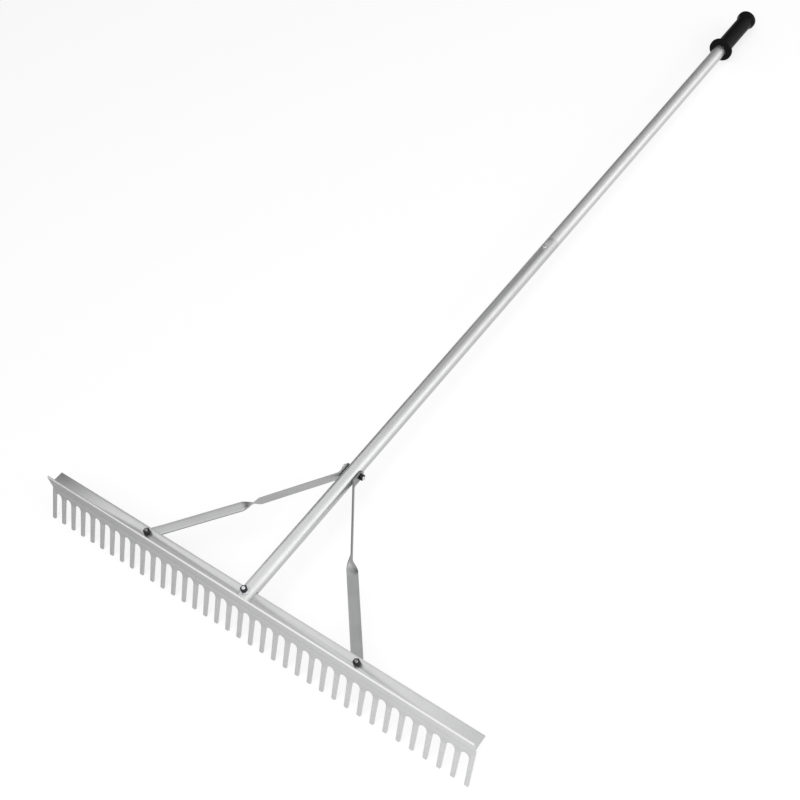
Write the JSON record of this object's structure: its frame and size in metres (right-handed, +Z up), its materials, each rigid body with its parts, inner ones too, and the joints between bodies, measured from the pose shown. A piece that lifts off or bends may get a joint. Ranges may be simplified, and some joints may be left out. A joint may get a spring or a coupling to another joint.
{
  "type": "landscape rake",
  "caption": "Wide aluminium landscape rake: extruded toothed head, twisted flat braces, two-piece tube handle with a snap button, and rubber grip with hand guard.",
  "frame": {"origin": "middle of the rake's footprint, at the level of the ground it lies on", "axes": "+Y from the toothed head towards the grip, +Z up as the rake lies on its tooth tips and its hand guard, +X along the head"},
  "size_m": [0.921, 1.8236, 0.0935],
  "materials": {
    "head_aluminium": "satin mill finish",
    "lower_tube_aluminium": "satin mill finish",
    "upper_tube_aluminium": "satin mill finish",
    "left_brace_aluminium": "satin mill finish",
    "right_brace_aluminium": "satin mill finish",
    "grip_rubber": "smooth black rubber with a soft sheen",
    "base_bolt_steel": "bright zinc plating",
    "base_nut_steel": "dark plated steel",
    "base_saddle_washer_steel": "bright zinc plating",
    "base_lower_washer_steel": "bright zinc plating",
    "left_flange_bolt_steel": "bright zinc plating",
    "left_flange_nut_steel": "dark plated steel",
    "right_flange_bolt_steel": "bright zinc plating",
    "right_flange_nut_steel": "dark plated steel",
    "cross_bolt_steel": "bright zinc plating",
    "cross_nut_steel": "dark plated steel",
    "snap_button_steel": "bright zinc plating",
    "snap_button_spring_steel": "plain spring steel"
  },
  "bodies": {
    "rake": {"rake_head": "head_aluminium", "lower_handle_tube": "lower_tube_aluminium", "upper_handle_tube": "upper_tube_aluminium", "left_brace": "left_brace_aluminium", "right_brace": "right_brace_aluminium", "handle_grip": "grip_rubber", "base_bolt": "base_bolt_steel", "base_nut": "base_nut_steel", "base_saddle_washer": "base_saddle_washer_steel", "base_lower_washer": "base_lower_washer_steel", "left_flange_bolt": "left_flange_bolt_steel", "left_flange_nut": "left_flange_nut_steel", "right_flange_bolt": "right_flange_bolt_steel", "right_flange_nut": "right_flange_nut_steel", "cross_bolt": "cross_bolt_steel", "cross_nut": "cross_nut_steel", "snap_button_spring": "snap_button_spring_steel"},
    "button": {"snap_button": "snap_button_steel"}
  },
  "joints": [
    {"name": "button_press", "type": "slide", "parent": "rake", "child": "button", "axis": [0, -0.0263, -0.9997], "range_m": [0, 0.004], "stiffness_N_per_m": 2000, "springref_m": -0.002, "deforming": ["snap_button_spring"]}
  ]
}
